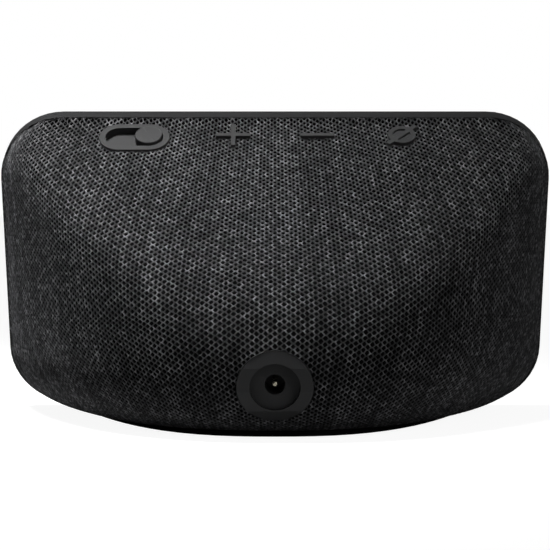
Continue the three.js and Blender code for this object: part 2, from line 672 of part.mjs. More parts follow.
// The knob, and the carriage that slides under both the bezel and the housing's roof.
function sliderKnob() {
  const carriageTop = Math.min(slotUnder, shellBack) - GAP;
  const carriageBack = carriageTop - CARRIAGE.thickness;
  const knobBack = slotFloor + GAP;
  const knob = rod(SLIDER.radius, knobBack, SLIDER.proud, SLIDER.end, 0, 32);
  const stemBack = carriageTop - OVERLAP;
  const stemFront = knobBack + OVERLAP;
  const stem = slab(STEM.length, STEM.width, stemBack, stemFront, SLIDER.end, STEM.offset);
  const carriageX = SLIDER.end + CARRIAGE.offset;
  const carriageY = STEM.offset + (STEM.width - CARRIAGE.width) / 2;
  const { length, width } = CARRIAGE;
  const carriage = slab(length, width, carriageBack, carriageTop, carriageX, carriageY);
  return join(knob, stem, carriage).translate([0, SLOT_ROW, 0]);
}

piece("slider_bezel", sliderBezel(), FINISH.key, roofFrame);
piece("slider_knob", sliderKnob(), FINISH.key, roofFrame);
const lipOpening = bezelPill(SLOT.lip + GAP, lipBack - GAP + HAIR, ABOVE);
const cupOpening = bezelPill(SLOT.wall + GAP, shellBack - UNDER, ABOVE);
const sliderOpenings = [lipOpening, cupOpening].map((solid) => {
  return inWorld(solid.translate([0, SLOT_ROW, 0]), roofFrame);
});

// ---------------------------------------------------------------- power inlet
const cupFloor = -JACK.depth;
const cupBack = cupFloor - JACK_TUBE_WALL;

// The ring follows the cover; a tube behind it makes the well that the plug's grip goes into.
function jackBezel() {
  const disc = inWorld(rod(JACK.ring, -THROUGH, ABOVE, 0, 0, 40), jackFrame);
  const flange = cut(disc.intersect(housingVolume(-JACK.proud)), housingVolume(INNER_INSET));
  const tube = rod(JACK.well + JACK_TUBE_WALL, cupBack, -SHELL_INSET, 0, 0, 32);
  const behindCover = inWorld(tube, jackFrame).intersect(housingVolume(0));
  const well = rod(JACK.well, cupFloor, ABOVE, 0, 0, 32);
  const hole = rod(JACK_HOLE.radius, -THROUGH, ABOVE, 0, 0, 20);
  const bodyRoom = slab(JACK_BODY.width + 2 * GAP, JACK_BODY.height + 2 * GAP, -THROUGH, cupBack, 0, 0);
  return cut(join(flange, behindCover), inWorld(join(well, hole, bodyRoom), jackFrame));
}

function jackBody() {
  const block = slab(JACK_BODY.width, JACK_BODY.height, jackBodyBack, jackBodyFront, 0, 0);
  return cut(block, rod(JACK_HOLE.radius, jackHoleEnd, 0, 0, 0, 20));
}

const jackBodyFront = cupBack - GAP;
const jackBodyBack = jackBodyFront - JACK_HOLE.depth;
const jackHoleEnd = jackBodyBack + JACK_HOLE.end;
const jackPin = rod(JACK_HOLE.pin, jackHoleEnd + GAP, cupFloor - GAP, 0, 0, 14);
const jackOpening = inWorld(rod(JACK.ring + GAP, -THROUGH, ABOVE, 0, 0, 40), jackFrame);
piece("jack_bezel", jackBezel(), FINISH.shell);
piece("jack_body", jackBody(), FINISH.chip, jackFrame);
piece("jack_pin", jackPin, FINISH.brass, jackFrame);

// ---------------------------------------------------------------- loudspeaker behind the roof
const SPEAKER_EDGE = SPEAKER.radius - SPEAKER.rim; // outside of the surround
const CONE_RADIUS = SPEAKER_EDGE - SPEAKER.surround;
const CHAMBER_INSIDE = SPEAKER.radius + GAP;
const CHAMBER_OUTSIDE = CHAMBER_INSIDE + CHAMBER.wall;
const SPEAKER_ALONG = KEY_ROW + KEY_BOARD.height / 2 + CHAMBER.clearance + CHAMBER_OUTSIDE;

// The speaker sits low enough for its rim to clear the roof where that rolls over.
function speakerDrop() {
  const sizes = housingSizes(INNER_INSET);
  const drops = Array.from({ length: 12 }, (_, i) => {
    const angle = (Math.PI * i) / 6;
    const across = SPEAKER.radius * Math.cos(angle);
    return rollOff(sizes, across, SPEAKER_ALONG + SPEAKER.radius * Math.sin(angle));
  });
  return Math.max(...drops);
}

const seatLevel = shellBack - speakerDrop() - SPEAKER_SEAT;
const gasketTop = seatLevel - GAP;
const gasketBack = gasketTop - GASKET_THICKNESS;
const basketFront = gasketBack - GAP;
const basketBack = basketFront - SPEAKER.depth;
const coneFront = basketFront - SPEAKER.steel;
const coneBack = coneFront - SPEAKER.coneDepth;
const onSpeaker = (solid) => solid.translate([0, SPEAKER_ALONG, 0]);

function speakerGasket() {
  const ring = rod(SPEAKER.radius, gasketBack, gasketTop, 0, 0, 32);
  return cut(ring, rod(SPEAKER_EDGE + GAP, -THROUGH, 0, 0, 0, 32));
}

function speakerBasket() {
  const { radius, rim, flange, steel, hub, magnet } = SPEAKER;
  const opening = magnet - hub;
  const profile = [
    [opening, basketBack],
    [magnet, basketBack],
    [radius - rim, basketFront - flange - steel],
    [radius, basketFront - flange],
    [radius, basketFront],
    [SPEAKER_EDGE + GAP, basketFront],
    [SPEAKER_EDGE + GAP, basketFront - flange - steel / 2],
    [magnet - flange, basketBack + steel],
    [opening, basketBack + steel],
    [opening, basketBack],
  ];
  const { width, depth, inset } = SPOKE_WINDOW;
  const length = 2 * (radius - inset);
  const windows = [1, 3].map((eighth) => {
    const turn = new THREE.Matrix4().makeRotationZ((eighth * Math.PI) / 4);
    const place = turn.premultiply(moved(0, 0, basketBack + 1.5 * depth));
    return solidOf(new THREE.BoxGeometry(length, width, depth), place);
  });
  return cut(turned(profile), ...windows);
}

// The cone, with the voice coil's tube behind it.
function speakerCone() {
  const { dome, coneWall } = SPEAKER;
  const coilBack = coneBack - VOICE_COIL.length;
  const coilOutside = dome - VOICE_COIL.play;
  const coilInside = coilOutside - VOICE_COIL.wall;
  return turned([
    [dome, coneBack],
    [CONE_RADIUS, coneFront],
    [CONE_RADIUS, coneFront - coneWall],
    [dome + coneWall, coneBack - 2 * coneWall],
    [coilOutside, coneBack - 2 * coneWall],
    [coilOutside, coilBack],
    [coilInside, coilBack],
    [coilInside, coneBack],
    [dome, coneBack],
  ]);
}

// Half a ring of round section, open towards the inside.
function speakerSurround() {
  const middle = (CONE_RADIUS + SPEAKER_EDGE) / 2;
  const outer = SPEAKER.surround / 2 - GAP;
  const arc = (radius) => {
    const points = [];
    for (let i = 0; i <= 4; i++) {
      const angle = (Math.PI * i) / 4;
      const z = coneFront - SPEAKER.coneWall + radius * Math.sin(angle);
      points.push([middle - radius * Math.cos(angle), z]);
    }
    return points;
  };
  const loop = [...arc(outer - SPEAKER.coneWall), ...arc(outer).reverse()];
  return turned([...loop, loop[0]]);
}

function dustCap() {
  const radius = SPEAKER.dome - VOICE_COIL.play;
  const bottom = coneBack + GAP;
  return turned([
    [0, bottom],
    [radius, bottom],
    [radius - GAP, bottom + 0.35 * SPEAKER.capHeight],
    [radius * 0.6, bottom + 0.8 * SPEAKER.capHeight],
    [0, bottom + SPEAKER.capHeight],
  ]);
}

// A ring magnet with its pole piece, and the round gap that the voice coil moves in.
function speakerMagnet() {
  const top = basketBack - GAP;
  const back = top - SPEAKER.magnetHeight;
  const bore = rod(SPEAKER.dome + GAP, back + 2 * SPEAKER.steel, top + 1, 0, 0, 24);
  const ring = cut(rod(SPEAKER.magnet, back, top, 0, 0, 32), bore);
  const poleRadius = SPEAKER.dome - VOICE_COIL.play - VOICE_COIL.wall - 2 * GAP;
  return join(ring, rod(poleRadius, back + SPEAKER.steel, basketBack + 2, 0, 0, 20));
}

function speakerChamber() {
  const front = basketFront - SPEAKER.flange - GAP;
  const back = basketBack - SPEAKER.magnetHeight - 1 - CHAMBER.wall;
  const outside = roundedRect(2 * CHAMBER_OUTSIDE, 2 * CHAMBER_OUTSIDE, CHAMBER.corner);
  const insideCorner = CHAMBER.corner - CHAMBER.wall;
  const inside = roundedRect(2 * CHAMBER_INSIDE, 2 * CHAMBER_INSIDE, insideCorner);
  return cut(prism(outside, back, front, 4), prism(inside, back + CHAMBER.wall, front + 1, 4));
}

piece("speaker_gasket", onSpeaker(speakerGasket()), FINISH.foam, roofFrame);
piece("speaker_basket", onSpeaker(speakerBasket()), FINISH.shell, roofFrame);
piece("speaker_surround", onSpeaker(speakerSurround()), FINISH.rubber, roofFrame);
piece("speaker_cone", onSpeaker(speakerCone()), FINISH.cone, roofFrame);
piece("speaker_dust_cap", onSpeaker(dustCap()), FINISH.cone, roofFrame);
piece("speaker_magnet", onSpeaker(speakerMagnet()), FINISH.magnet, roofFrame);
piece("speaker_chamber", onSpeaker(speakerChamber()), FINISH.shell, roofFrame);

// ---------------------------------------------------------------- foot, base plate and screws
// The outline of the foot, set in by a distance: round at the back and straight at the front.
function footOutline(inset) {
  const steps = 32;
  const halfWidth = FOOT.halfWidth - inset;
  const rear = -FRONT - FOOT.heel - inset;
  const start = FRONT + FOOT.start;
  const front = FRONT + FOOT.front + inset;
  const reach = (1 - (front - start) / (rear - start)) ** (1 / FOOT.power);
  const points = [];
  for (let i = 0; i <= steps; i++) {
    const across = reach * Math.sin((Math.PI / 2) * ((2 * i) / steps - 1));
    const y = start + (rear - start) * (1 - Math.abs(across) ** FOOT.power);
    points.push(new THREE.Vector2(-across * halfWidth, y));
  }
  return new THREE.Shape(points.reverse());
}

const plateTop = BODY_BOTTOM + BASE_PLATE_THICKNESS;
const baseScrewZ = BODY_BOTTOM + BASE_SCREW.recess + BASE_SCREW.headHeight;
const baseScrewPlaces = BASE_SCREWS.map(([x, back]) => [x, FRONT + back]);

// One upright rod at every screw of the base.
function atBaseScrews(radius, bottom, top, sides) {
  return baseScrewPlaces.map(([x, y]) => rod(radius, bottom, top, x, y, sides));
}

function basePlate() {
  const counterbores = atBaseScrews(BASE_SCREW.head + GAP, 0, baseScrewZ + GAP, 16);
  const holes = atBaseScrews(BASE_SCREW.shank + GAP, 0, THROUGH, 12);
  const plate = prism(footOutline(HEM + GAP), BODY_BOTTOM, plateTop, 1);
  return cut(plate, ...counterbores, ...holes);
}

piece("foot_pad", prism(footOutline(0), 0, FOOT.thickness, 1), FINISH.rubber);
piece("base_plate", basePlate(), FINISH.steel);
baseScrewPlaces.forEach(([x, y], i) => {
  piece(`base_screw_${i + 1}`, screw(BASE_SCREW, x, y, baseScrewZ, -1), FINISH.steel);
});

// ---------------------------------------------------------------- housing and cover
// Everything that lies behind a plane parallel to the face, at a depth behind it.
function behindFace(solid, depth) {
  const toFace = FRONT * Math.cos(LEAN) - FACE_BOTTOM * Math.sin(LEAN);
  return solid.trimByPlane([0, Math.cos(LEAN), -Math.sin(LEAN)], depth + toFace);
}

function grilleHoles() {
  const holes = [];
  for (let row = -GRILLE.rows; row <= GRILLE.rows; row++) {
    const count = 2 * GRILLE.rows + 1 - Math.abs(row);
    for (let i = 0; i < count; i++) {
      const x = (i - (count - 1) / 2) * GRILLE.pitch;
      const y = SPEAKER_ALONG + row * GRILLE.pitch * Math.sin(Math.PI / 3);
      holes.push(rod(GRILLE.hole, shellBack - 1, 3, x, y, 8));
    }
  }
  return holes.map((hole) => inWorld(hole, roofFrame));
}

// The ring under the roof that the speaker's gasket is pressed against.
function speakerSeat() {
  const ring = cut(
    rod(SPEAKER.radius, seatLevel, shellBack + OVERLAP, 0, 0, 32),
    rod(SPEAKER_EDGE + GAP, -THROUGH, ABOVE, 0, 0, 32),
  );
  return inWorld(onSpeaker(ring), roofFrame).intersect(housingVolume(SHELL_INSET));
}

function rearHousing() {
  const shell = cut(behindFace(housingVolume(SHELL_INSET), RIM_DEPTH), housingVolume(INNER_INSET));
  const bosses = atBaseScrews(BASE_BOSS.radius, BODY_BOTTOM + SHELL_INSET + 1, BASE_BOSS.top, 16);
  const plateSeat = prism(footOutline(HEM), 0, plateTop + GAP, 1);
  const holeTop = BASE_BOSS.top - BASE_BOSS.cover;
  const screwHoles = atBaseScrews(BASE_SCREW.shank + GAP, 0, holeTop, 12);
  const speakerRoom = rod(SPEAKER.radius + GAP, -THROUGH, seatLevel, 0, 0, 32);
  const openings = [
    inWorld(onSpeaker(speakerRoom), roofFrame),
    ...keyOpenings(),
    ...sliderOpenings,
    jackOpening,
    ...grilleHoles(),
  ];
  return cut(join(shell, speakerSeat(), ...bosses), plateSeat, ...screwHoles, ...openings);
}

function knitCover() {
  const skin = cut(behindFace(housingVolume(0), RIM_DEPTH), housingVolume(COVER_THICKNESS));
  const bottomOpening = prism(footOutline(HEM), 0, BODY_BOTTOM + 2, 1);
  return cut(skin, bottomOpening, ...keyOpenings(), sliderOpenings[0], jackOpening);
}

piece("rear_housing", rearHousing(), FINISH.shell);
piece("knit_cover", knitCover(), FINISH.knit);

// ---------------------------------------------------------------- wiring
function displayRibbon() {
  const { x, width, thickness, tail } = RIBBON;
  const tailBack = boardBack - 2 * GAP - thickness;
  const tailY = ribbonY - (tail - thickness) / 2;
  return join(
    slab(width, thickness, tailBack, lightBack - GAP, x, ribbonY),
    slab(width, tail, tailBack, tailBack + thickness, x, tailY),
  );
}

function keyRibbon() {
  const back = bracketBack - 4 * GAP;
  const front = back + RIBBON.thickness;
  return slab(KEY_RIBBON.width, KEY_RIBBON.length, back, front, KEY_RIBBON.x, KEY_RIBBON.y);
}

piece("display_ribbon", displayRibbon(), FINISH.flex, screenFrame);
piece("key_ribbon", keyRibbon(), FINISH.flex, screenFrame);
const speakerWire = [
  [12, -17.5, 25],
  [14, -19, 20],
  [14, -23, 19],
  [14, -25, 23],
];
piece("speaker_cable", cable(speakerWire, WIRE_RADIUS, 10), FINISH.rubber);
const jackWire = [
  [0, 28.5, 15.5],
  [6, 18, 14],
  [10, 2, 13],
  [20, -16, 13],
  [27, -27, 14],
];
piece("jack_cable", cable(jackWire, WIRE_RADIUS, 14), FINISH.rubber);

export default whole;
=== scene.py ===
# %% [markdown]
# A smart display with a knitted back, seen from behind. Its solids come finished from a frame, each in
# its right place and in metres. The work here is the knitted cover, the small edge roundings, the
# finishes, the light and the camera.

import json
import math

import bpy
import numpy as np
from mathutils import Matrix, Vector


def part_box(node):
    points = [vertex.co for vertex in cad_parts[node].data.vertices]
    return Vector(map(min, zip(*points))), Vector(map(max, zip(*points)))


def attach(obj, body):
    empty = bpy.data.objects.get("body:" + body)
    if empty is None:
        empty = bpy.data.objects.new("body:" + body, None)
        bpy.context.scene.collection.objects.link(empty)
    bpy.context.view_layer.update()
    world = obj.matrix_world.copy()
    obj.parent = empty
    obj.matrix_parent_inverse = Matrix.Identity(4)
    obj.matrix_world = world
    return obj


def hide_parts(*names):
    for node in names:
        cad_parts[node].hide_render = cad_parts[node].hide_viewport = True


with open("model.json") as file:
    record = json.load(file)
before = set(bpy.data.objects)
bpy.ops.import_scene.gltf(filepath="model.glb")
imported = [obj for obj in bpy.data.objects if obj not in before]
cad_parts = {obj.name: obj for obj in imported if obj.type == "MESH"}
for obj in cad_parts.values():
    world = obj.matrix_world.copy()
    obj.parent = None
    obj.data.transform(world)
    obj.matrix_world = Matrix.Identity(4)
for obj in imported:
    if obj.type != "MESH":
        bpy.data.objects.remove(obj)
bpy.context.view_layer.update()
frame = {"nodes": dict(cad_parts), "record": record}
nodes = frame["nodes"]
record = frame["record"]

# %% [markdown]
# Materials are trees of nodes. A few helpers keep their making short: a new group with named sockets,
# a node with its settings, a sum, and a noise at a given scale.


# %% Helpers for node trees
def new_group(name, inputs, outputs):
    group = bpy.data.node_groups.new(name, "ShaderNodeTree")
    for label, value in inputs.items():
        kind = "NodeSocketVector" if value is None else "NodeSocketFloat"
        socket = group.interface.new_socket(label, in_out="INPUT", socket_type=kind)
        if value is not None:
            socket.default_value = value
    for label in outputs:
        group.interface.new_socket(label, in_out="OUTPUT", socket_type="NodeSocketFloat")
    return group, group.nodes.new("NodeGroupInput"), group.nodes.new("NodeGroupOutput")


def add(tree, kind, **settings):
    node = tree.nodes.new(kind)
    for key, value in settings.items():
        setattr(node, key, value)
    return node


def math_node(tree, operation, a, b=None):
    node = add(tree, "ShaderNodeMath", operation=operation)
    for socket, value in zip(node.inputs, (a, b)):
        if isinstance(value, bpy.types.NodeSocket):
            tree.links.new(value, socket)
        elif value is not None:
            socket.default_value = value
    return node.outputs[0]


def noise(tree, where, scale, detail, roughness=0.5):
    node = add(tree, "ShaderNodeTexNoise")
    tree.links.new(where, node.inputs["Vector"])
    if isinstance(scale, bpy.types.NodeSocket):
        tree.links.new(scale, node.inputs["Scale"])
    else:
        node.inputs["Scale"].default_value = scale
    node.inputs["Detail"].default_value = detail
    node.inputs["Roughness"].default_value = roughness
    return node.outputs["Fac"]


print("helpers ready in Blender", bpy.app.version_string)

# %% [markdown]
# A moulding tool leaves a fine pebbled grain on plastic. It could be an image, but noise has no seams
# and keeps its real size on every piece. As several finishes need it, it is one node group. It gives
# a height for the bump, a slow drift for the colour and a mask of places rubbed smooth by handling.


# %% A group for moulded grain
def make_grain():
    group, given, result = new_group(
        "Moulded grain", {"Where": None, "Fineness": 2500.0}, ("Height", "Drift", "Rub")
    )
    where = given.outputs["Where"]
    pebbles = noise(group, where, given.outputs["Fineness"], detail=3.0)
    slow = noise(group, where, 45.0, detail=2.0)
    handled = noise(group, where, 160.0, detail=6.0, roughness=0.7)
    rub = math_node(group, "SMOOTH_MAX", handled, 0.5)
    group.links.new(pebbles, result.inputs["Height"])
    group.links.new(slow, result.inputs["Drift"])
    group.links.new(rub, result.inputs["Rub"])
    return group


grain = make_grain()
print("group", grain.name, [s.name for s in grain.interface.items_tree])

# %% [markdown]
# Every material starts from the same few parts: two colours mixed by a mask, a mask stretched to a
# range of values, and an empty material with its shader.


# %% Parts of a material
def mix_colour(tree, share, first, second):
    node = add(tree, "ShaderNodeMix", data_type="RGBA")
    tree.links.new(share, node.inputs[0])
    node.inputs[6].default_value = (*first, 1)
    node.inputs[7].default_value = (*second, 1)
    return node.outputs[2]


def map_range(tree, value, low, high, new_low, new_high):
    node = add(tree, "ShaderNodeMapRange")
    tree.links.new(value, node.inputs[0])
    for socket, number in zip(node.inputs[1:5], (low, high, new_low, new_high)):
        socket.default_value = number
    return node.outputs[0]


def blank(name):
    material = bpy.data.materials.new(name)
    material.use_nodes = True
    tree = material.node_tree
    return material, tree, tree.nodes["Principled BSDF"]


def shaded(colour, factor):
    return tuple(min(c * factor, 1) for c in colour)


print("a tone ten per cent darker", shaded((0.5, 0.5, 0.5), 0.9))

# %% [markdown]
# A moulded finish is a Principled shader with the grain feeding its colour, its gloss and its bump.
# The colour drifts between a darker and a lighter tone, and handling leaves some places a little
# glossier. Without the drift, plastic looks like paint straight out of a tin.


# %% A moulded finish
def moulded(
    name, colour, roughness, fineness=2500, depth=0.00002, drift=0.18, metal=0.0, clear=0.0, shine=0.5
):
    material, tree, shader = blank(name)
    place = add(tree, "ShaderNodeTexCoord")
    texture = add(tree, "ShaderNodeGroup", node_tree=grain)
    tree.links.new(place.outputs["Object"], texture.inputs["Where"])
    texture.inputs["Fineness"].default_value = fineness
    tone = mix_colour(
        tree, texture.outputs["Drift"], shaded(colour, 1 - drift), shaded(colour, 1 + drift)
    )
    handled = max(roughness - 0.12, 0.02)
    worn = map_range(tree, texture.outputs["Rub"], 0.5, 0.75, roughness, handled)
    bump = add(tree, "ShaderNodeBump")
    bump.inputs["Distance"].default_value = depth
    bump.inputs["Strength"].default_value = 1.0
    tree.links.new(texture.outputs["Height"], bump.inputs["Height"])
    tree.links.new(tone, shader.inputs["Base Color"])
    tree.links.new(worn, shader.inputs["Roughness"])
    tree.links.new(bump.outputs["Normal"], shader.inputs["Normal"])
    shader.inputs["Metallic"].default_value = metal
    shader.inputs["Coat Weight"].default_value = clear
    shader.inputs["Coat Roughness"].default_value = 0.06
    shader.inputs["Specular IOR Level"].default_value = shine
    return material


finishes = {"trim": moulded("Satin frame plastic", (0.022, 0.0222, 0.023), 0.5, shine=0.25)}
print("first finish", finishes["trim"].name)

# %% [markdown]
# Plastics, rubber, foam, paper and painted parts differ in their numbers only. Each name on the left
# is a slot that the frame gives its solids. The numbers are the roughness, how many grains there are
# to a metre, the height of a grain in metres, and how far the colour drifts.

# %% Finishes by slot
finishes |= {
    "key": moulded("Satin key plastic", (0.031, 0.0312, 0.032), 0.55, 3200, 0.00001, 0.1, shine=0.25),
    "shell": moulded("Matt housing plastic", (0.011, 0.0112, 0.012), 0.6, 3000, 0.00001, shine=0.12),
    "glass_face": moulded("Face glass", (0.004, 0.004, 0.005), 0.08, 900, 0.000002, 0.1, clear=1.0),
    "screen": moulded("Panel film", (0.008, 0.008, 0.010), 0.2, 900, 0.000002),
    "diffuser": moulded("Diffuser film", (0.75, 0.77, 0.8), 0.5, 4000, 0.00001, 0.04),
    "lens": moulded("Coated lens", (0.006, 0.008, 0.03), 0.05, 500, 0.000001, 0.2, clear=1.0),
    "dark_part": moulded("Component moulding", (0.012, 0.012, 0.013), 0.45),
    "shutter": moulded("Pale shutter plastic", (0.6, 0.6, 0.57), 0.5, 2500, 0.00001, 0.05),
    "board": moulded("Solder mask", (0.008, 0.05, 0.022), 0.3, 700, 0.00002, 0.3),
    "foam": moulded("Closed-cell foam", (0.02, 0.02, 0.021), 0.95, 1800, 0.00015, 0.3),
    "cone": moulded("Pressed pulp", (0.014, 0.014, 0.015), 0.85, 900, 0.0001, 0.35),
    "soft_rubber": moulded("Matt rubber", (0.004, 0.004, 0.0045), 0.8, 2000, 0.00003, 0.3, shine=0.1),
    "magnet": moulded("Sintered magnet", (0.05, 0.052, 0.055), 0.5, 1500, 0.00004, 0.3, metal=0.6),
    "flex": moulded("Printed film", (0.3, 0.1, 0.02), 0.35, 800, 0.00001, 0.25),
}
print("moulded finishes", len(finishes))

# %% [markdown]
# Rolled and plated metals show fine parallel lines from the rollers. The grain group makes those too:
# stretching its coordinates along two axes turns round pebbles into lines along the third.


# %% Rolled and plated metal
def rolled(name, colour, roughness, stretch=14):
    material, tree, shader = blank(name)
    place = add(tree, "ShaderNodeTexCoord")
    scale = add(tree, "ShaderNodeMapping")
    scale.inputs["Scale"].default_value = (1, stretch, stretch)
    tree.links.new(place.outputs["Object"], scale.inputs["Vector"])
    texture = add(tree, "ShaderNodeGroup", node_tree=grain)
    texture.inputs["Fineness"].default_value = 260
    tree.links.new(scale.outputs[0], texture.inputs["Where"])
    lines = texture.outputs["Height"]
    tree.links.new(
        mix_colour(tree, lines, shaded(colour, 0.85), shaded(colour, 1.12)),
        shader.inputs["Base Color"],
    )
    tree.links.new(
        map_range(tree, lines, 0.3, 0.7, roughness - 0.08, roughness + 0.12),
        shader.inputs["Roughness"],
    )
    bump = add(tree, "ShaderNodeBump")
    bump.inputs["Distance"].default_value = 0.00001
    tree.links.new(lines, bump.inputs["Height"])
    tree.links.new(bump.outputs["Normal"], shader.inputs["Normal"])
    shader.inputs["Metallic"].default_value = 1.0
    return material


finishes["steel"] = rolled("Stamped steel", (0.42, 0.42, 0.43), 0.34)
finishes["aluminium"] = rolled("Rolled aluminium", (0.62, 0.63, 0.64), 0.38)
finishes["contact"] = rolled("Plated contact", (0.75, 0.7, 0.55), 0.22)
print("finishes", len(finishes))

# %% [markdown]
# The yarn is a melange: dull dark filaments with a few pale ones that catch the light. Each corner of
# the mesh will carry its own share of pale filament in an attribute, kept low round the holes as
# painted shade, and a fibre noise breaks up what lies between. A touch of sheen gives the soft light on
# loose fibre ends.

# %% Melange yarn
YARN_DARK = (0.007, 0.0071, 0.0076)
YARN_PALE = (0.27, 0.27, 0.28)


def make_yarn():
    material, tree, shader = blank("Melange yarn")
    place = add(tree, "ShaderNodeTexCoord")
    thread = add(tree, "ShaderNodeAttribute", attribute_name="pale_filament_and_hole_shade")
    pale_and_hole_shade = thread.outputs["Fac"]
    fibre = noise(tree, place.outputs["Object"], 5200.0, 4.0, 0.65)
    cloud = noise(tree, place.outputs["Object"], 60.0, 3.0)
    lift = math_node(tree, "MULTIPLY", pale_and_hole_shade, map_range(tree, fibre, 0.3, 0.7, 0.4, 1.25))
    lift = math_node(tree, "MULTIPLY", lift, map_range(tree, cloud, 0.3, 0.7, 0.85, 1.12))
    tone = mix_colour(tree, lift, YARN_DARK, YARN_PALE)
    bump = add(tree, "ShaderNodeBump")
    bump.inputs["Distance"].default_value = 0.00008
    bump.inputs["Strength"].default_value = 0.8
    tree.links.new(fibre, bump.inputs["Height"])
    tree.links.new(tone, shader.inputs["Base Color"])
    tree.links.new(map_range(tree, fibre, 0.3, 0.7, 0.85, 0.6), shader.inputs["Roughness"])
    tree.links.new(bump.outputs["Normal"], shader.inputs["Normal"])
    shader.inputs["Specular IOR Level"].default_value = 0.12
    shader.inputs["Sheen Weight"].default_value = 0.04
    shader.inputs["Sheen Roughness"].default_value = 0.5
    shader.inputs["Sheen Tint"].default_value = (0.8, 0.82, 0.85, 1)
    return material


finishes["knit"] = make_yarn()
print("yarn from", YARN_DARK, "to", YARN_PALE)

# %% [markdown]
# Every solid of the frame takes the finish of its slot. Only the ring of the power inlet differs: it is
# a little smoother than the housing round it, and paler, which is painted light on its drooping face.

# %% Finishes on the solids
for part in record["subparts"]:
    piece = nodes[part["node"]]
    piece.data.materials.clear()
    piece.data.materials.append(finishes[part["material_slot"]])
# Paler than the housing as painted light: the lamp above barely reaches the ring's drooping face.
inlet_ring_painted_light = moulded("Satin inlet plastic, painted light", (0.024, 0.0242, 0.025), 0.5, 3000, 0.00001, shine=0.3)
nodes["jack_bezel"].data.materials[0] = inlet_ring_painted_light
print("finished solids", len(record["subparts"]))

# %% [markdown]
# No moulded edge is perfectly sharp, and the thin highlight along it is what makes plastic look real.
# A bevel modifier rounds the edges that show and leaves the solid's own mesh as it is. A weld comes
# first, because a bevel needs faces that share their corners.


# %% Rounded edges
def round_edges(name, width):
    piece = nodes[name]
    weld = piece.modifiers.new("join corners", "WELD")
    weld.merge_threshold = 0.000002
    bevel = piece.modifiers.new("round edges", "BEVEL")
    bevel.width = width
    bevel.segments = 3
    bevel.limit_method = "ANGLE"
    bevel.angle_limit = math.radians(28)
    bevel.harden_normals = True


ROUNDED = {
    "front_frame": 0.0004,
    "button_plus": 0.00022,
    "button_minus": 0.00022,
    "button_mute": 0.0002,
    "slider_bezel": 0.0004,
    "slider_knob": 0.0003,
    "jack_bezel": 0.0003,
    "foot_pad": 0.0003,
    "jack_pin": 0.0006,
}
for name, width in ROUNDED.items():
    round_edges(name, width)
print("rounded", len(ROUNDED), "of", len(nodes))

# %% [markdown]
# The cover follows the housing, so the housing's outer surface is written as a formula, in
# millimetres. It is a round-backed wall under a sloping roof, the two rolled into each other, with a
# heel that curls in at the bottom. A formula can be asked for any point of the cloth, while a grid
# that is shrink-wrapped onto the housing only knows its own corners.

# %% Sizes of the housing
MM = 0.001
frame_low, frame_high = (np.array(corner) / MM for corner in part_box("front_frame"))
WIDTH = frame_high[0] - frame_low[0]
FRONT = frame_low[1]
HEIGHT = frame_high[2]
REAR = -FRONT + 0.35  # the rolled edge of the roof takes this much off the wall's reach
LEAN = math.radians(19.7)
FRAME_DEPTH = 5.0
FACE_BOTTOM = 2.9
CORNER = 17.2
RIM_STEP = 0.7  # from the frame's edge in to the housing
RIM_RADIUS = CORNER - RIM_STEP
SLOPE = math.radians(38.7)  # of the roof
ROLL = 19.0  # how broadly the roof rolls over into the wall
PLAN_POWER, PLAN_FULLNESS = 2.4, 0.8  # the back's outline from above
BOTTOM = 1.5
WAIST, WAIST_RADIUS = 25.0, 27.0
HEEL = math.radians(30)
RIM_TOP = HEIGHT - FRAME_DEPTH * math.sin(LEAN) - RIM_STEP * math.cos(LEAN)
print("display", round(WIDTH), "wide,", round(HEIGHT), "high, rim at", round(RIM_TOP, 1))

# %% [markdown]
# Three small formulas feed the surface. They tell where the back of the frame is at a height, how wide
# the cover is there, and how far the wall tucks in below the waist.


# %% The rim and the wall
def rim_y(z):
    return FRONT + (z - FACE_BOTTOM) * math.tan(LEAN) + FRAME_DEPTH / math.cos(LEAN)


def rim_half_width(z):
    to_edge = np.minimum(RIM_TOP - z, z - BOTTOM) / math.cos(LEAN)
    in_corner = RIM_RADIUS - np.clip(to_edge, 0, RIM_RADIUS)
    return WIDTH / 2 - CORNER + np.sqrt(RIM_RADIUS**2 - in_corner**2)


def tuck(z):
    heel_top = WAIST - WAIST_RADIUS * math.sin(HEEL)
    heel_radius = (heel_top - BOTTOM) / (1 - math.sin(HEEL))
    belly = WAIST_RADIUS - np.sqrt(WAIST_RADIUS**2 - np.clip(WAIST - z, 0, WAIST_RADIUS) ** 2)
    below = np.clip(BOTTOM + heel_radius - z, 0, heel_radius)
    heel = WAIST_RADIUS * (1 - math.cos(HEEL)) + heel_radius * math.cos(HEEL)
    return np.where(z >= heel_top, belly, heel - np.sqrt(heel_radius**2 - below**2))


print("half width at mid height", round(float(rim_half_width(HEIGHT / 2)), 1))

# %% [markdown]
# Cloth pulled over a rim is a little thicker there, because its edge is folded in. So near the frame
# the surface swells out until it almost reaches the frame's own edge, and no dark step is left.


# %% The cover's surface
EDGE_SWELL, EDGE_REACH = 0.62, 1.4


def outwards(x, z):
    """Which way is out, across and up, from the straight sides and the rounded corners."""
    dx = np.maximum(np.abs(x) - WIDTH / 2 + CORNER, 0) * np.sign(x)
    up = np.maximum(z - RIM_TOP + RIM_RADIUS * math.cos(LEAN), 0)
    down = np.maximum(BOTTOM + RIM_RADIUS * math.cos(LEAN) - z, 0)
    length = np.hypot(dx, up - down) + 1e-6
    return dx / length, (up - down) / length


